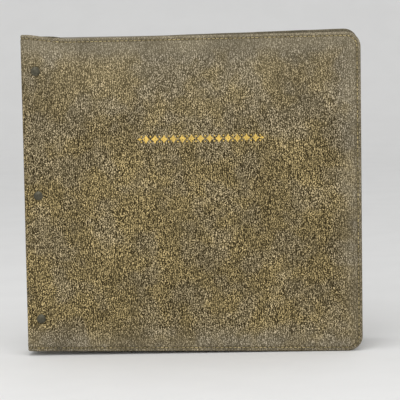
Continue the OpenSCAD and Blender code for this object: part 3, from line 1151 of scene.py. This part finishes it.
def make_sweep(studio):
    """A floor that curves up into a backdrop, turned so that the album leans on its corner."""
    bm = bmesh.new()
    foot = SWEEP_WALL - SWEEP_R
    profile = [(SWEEP_FRONT, 0.0), (foot, 0.0)]
    for step in range(1, SWEEP_STEPS + 1):
        turn = step / SWEEP_STEPS * math.pi / 2
        profile.append((foot + SWEEP_R * math.sin(turn), SWEEP_R - SWEEP_R * math.cos(turn)))
    profile.append((SWEEP_WALL, SWEEP_TOP))
    points = [bm.verts.new((-SWEEP_HALF, y, z)) for y, z in profile]
    edges = [bm.edges.new(pair) for pair in zip(points, points[1:])]
    swept = bmesh.ops.extrude_edge_only(bm, edges=edges)["geom"]
    bmesh.ops.translate(bm, verts=points_of(swept), vec=(2 * SWEEP_HALF, 0, 0))
    bmesh.ops.recalc_face_normals(bm, faces=bm.faces)
    bm.normal_update()
    if sum(f.normal.z for f in bm.faces) < 0:
        bmesh.ops.reverse_faces(bm, faces=bm.faces)
    corner = Matrix.Translation((COVER_HIGH.x, FRONT_Y, 0))
    lean = corner @ Matrix.Rotation(-studio.lean, 4, "Y") @ corner.inverted()
    bmesh.ops.transform(bm, matrix=lean, verts=bm.verts)
    sweep = finished(bm, "paper_sweep", shared("Paper sweep", floor_material, studio), 60)


def make_light(name, place, target, size, power):
    """A square soft light that looks at the target."""
    data = bpy.data.lights.new(name, "AREA")
    data.shape = "RECTANGLE"
    data.size, data.size_y = size
    data.energy = power
    light = bpy.data.objects.new(name, data)
    light.location = place
    light.rotation_euler = (Vector(target) - Vector(place)).to_track_quat("-Z", "Y").to_euler()
    bpy.context.scene.collection.objects.link(light)


def make_world(studio):
    world = bpy.data.worlds.new("Surroundings")
    world.use_nodes = True
    background = world.node_tree.nodes["Background"]
    background.inputs["Color"].default_value = (1, 1, 1, 1)
    background.inputs["Strength"].default_value = studio.world
    bpy.context.scene.world = world


def make_camera():
    """A long lens in front of the album and a little above its head, turned slightly left and down."""
    yaw, pitch, roll = (math.radians(angle) for angle in (CAMERA_YAW, CAMERA_PITCH, CAMERA_ROLL))
    ahead = Vector((math.sin(yaw) * math.cos(pitch), math.cos(yaw) * math.cos(pitch), math.sin(pitch)))
    level = Vector((math.cos(yaw), -math.sin(yaw), 0))
    above = level.cross(ahead)
    right = level * math.cos(roll) + above * math.sin(roll)
    upward = above * math.cos(roll) - level * math.sin(roll)
    data = bpy.data.cameras.new("Camera")
    data.sensor_width = SENSOR
    data.lens = LENS
    data.clip_start = 0.05
    camera = bpy.data.objects.new("Camera", data)
    turn = Matrix((right, upward, -ahead)).transposed().to_4x4()
    camera.matrix_world = Matrix.Translation(CAMERA_PLACE) @ turn
    bpy.context.scene.collection.objects.link(camera)
    bpy.context.scene.camera = camera


# ---------------------------------------------------------------------------------------------
# Operators


class ALBUM_OT_hides(bpy.types.Operator):
    """Makes the two halves of the leather that wraps round the album"""

    bl_idname = "album.hides"
    bl_label = "Hides"

    def execute(self, context):
        scene = context.scene
        material = shared("Waxed hide", hide_material, scene.album_colours)
        for side in (FRONT, REAR):
            make_hide(side, scene.album_hide, scene.album_seam, material)
        return {"FINISHED"}


class ALBUM_OT_seams(bpy.types.Operator):
    """Makes the stitches along the edges of both halves"""

    bl_idname = "album.seams"
    bl_label = "Seams"

    def execute(self, context):
        scene = context.scene
        material = shared("Waxed thread", thread_material, scene.album_colours)
        for side in (FRONT, REAR):
            make_seam(side, scene.album_hide, scene.album_seam, material)
        return {"FINISHED"}


class ALBUM_OT_linings(bpy.types.Operator):
    """Makes the linings inside the spine and the covers"""

    bl_idname = "album.linings"
    bl_label = "Linings"

    def execute(self, context):
        scene = context.scene
        material = shared("Skiver lining", lining_material, scene.album_colours)
        for side in (FRONT, REAR):
            make_lining(side, scene.album_hide, scene.album_seam, material)
        return {"FINISHED"}


class ALBUM_OT_leaves(bpy.types.Operator):
    """Makes the card leaves"""

    bl_idname = "album.leaves"
    bl_label = "Leaves"

    def execute(self, context):
        scene = context.scene
        material = shared("Leaf card", card_material, scene.album_colours, "Leaf card", 0)
        for number in LEAVES:
            make_leaf(number, scene.album_leaf, material)
        return {"FINISHED"}


class ALBUM_OT_linen_hinges(bpy.types.Operator):
    """Makes the linen strips that the leaves turn on"""

    bl_idname = "album.linen_hinges"
    bl_label = "Linen hinges"

    def execute(self, context):
        scene = context.scene
        material = shared("Linen", linen_material, scene.album_colours)
        for number in LEAVES:
            make_linen_hinge(number, scene.album_leaf, material)
        return {"FINISHED"}


class ALBUM_OT_posts(bpy.types.Operator):
    """Makes the binding posts and the screws that close them"""

    bl_idname = "album.posts"
    bl_label = "Posts and screws"

    def execute(self, context):
        scene = context.scene
        material = shared("Antique gunmetal", metal_material, scene.album_colours)
        for name in POSTS:
            make_post(name, scene.album_hide, material)
            make_screw(name, scene.album_hide, material)
        return {"FINISHED"}


class ALBUM_OT_ornament(bpy.types.Operator):
    """Makes the gilt band stamped on the front cover"""

    bl_idname = "album.ornament"
    bl_label = "Gilt band"

    def execute(self, context):
        scene = context.scene
        material = shared("Stamped foil", gilt_material, scene.album_colours)
        make_ornament(scene.album_hide, scene.album_seam, material)
        return {"FINISHED"}


class ALBUM_OT_frame_finishes(bpy.types.Operator):
    """Gives the boards and stubs of the frame their finishes"""

    bl_idname = "album.frame_finishes"
    bl_label = "Boards and stubs"

    def execute(self, context):
        colours = context.scene.album_colours
        pasteboard = shared("Pasteboard", board_material, colours)
        stub_pitch = (STUB_HIGH.y - STUB_LOW.y) / 2
        plied = shared("Stub card", card_material, colours, "Stub card", stub_pitch)
        for name, obj in frame["nodes"].items():
            if "board" in name:
                finish = pasteboard
            elif name.startswith("stub_"):
                finish = plied
            else:
                continue
            for slot in obj.material_slots:
                slot.material = finish
        return {"FINISHED"}


class ALBUM_OT_stage(bpy.types.Operator):
    """Sets up the floor, the lights and the camera"""

    bl_idname = "album.stage"
    bl_label = "Stage"

    def execute(self, context):
        studio = context.scene.album_studio
        make_sweep(studio)
        make_world(studio)
        make_light("Key light", KEY_PLACE, KEY_TARGET, KEY_SIZE, studio.key)
        make_light("Top light", TOP_PLACE, TOP_TARGET, TOP_SIZE, studio.top)
        make_camera()
        context.scene.view_settings.view_transform = "Standard"
        return {"FINISHED"}


class ALBUM_PT_panel(bpy.types.Panel):
    """Settings and pieces of the album"""

    bl_idname = "ALBUM_PT_panel"
    bl_label = "Scrapbook Album"
    bl_space_type = "VIEW_3D"
    bl_region_type = "UI"
    bl_category = "Album"

    def draw(self, context):
        layout = self.layout
        for settings in SETTINGS:
            group = getattr(context.scene, settings)
            box = layout.box()
            box.label(text=SETTINGS[settings][1])
            for name in group.__annotations__:
                box.prop(group, name)
        for operator in OPERATORS:
            layout.operator(operator.bl_idname)


SETTINGS = {
    "album_hide": (AlbumHideSettings, "Leather"),
    "album_seam": (AlbumSeamSettings, "Seams"),
    "album_leaf": (AlbumLeafSettings, "Leaves"),
    "album_colours": (AlbumColours, "Colours"),
    "album_studio": (AlbumStudioSettings, "Stage"),
}
OPERATORS = (
    ALBUM_OT_hides, ALBUM_OT_seams, ALBUM_OT_linings, ALBUM_OT_leaves, ALBUM_OT_linen_hinges,
    ALBUM_OT_posts, ALBUM_OT_ornament, ALBUM_OT_frame_finishes, ALBUM_OT_stage)


def register():
    for name, (group, _) in SETTINGS.items():
        bpy.utils.register_class(group)
        setattr(bpy.types.Scene, name, bpy.props.PointerProperty(type=group))
    for cls in (*OPERATORS, ALBUM_PT_panel):
        bpy.utils.register_class(cls)


def unregister():
    for cls in reversed((*OPERATORS, ALBUM_PT_panel)):
        bpy.utils.unregister_class(cls)
    for name, (group, _) in SETTINGS.items():
        delattr(bpy.types.Scene, name)
        bpy.utils.unregister_class(group)


def main():
    register()
    for operator in OPERATORS:
        namespace, name = operator.bl_idname.split(".")
        getattr(getattr(bpy.ops, namespace), name)()


if __name__ == "__main__":
    main()
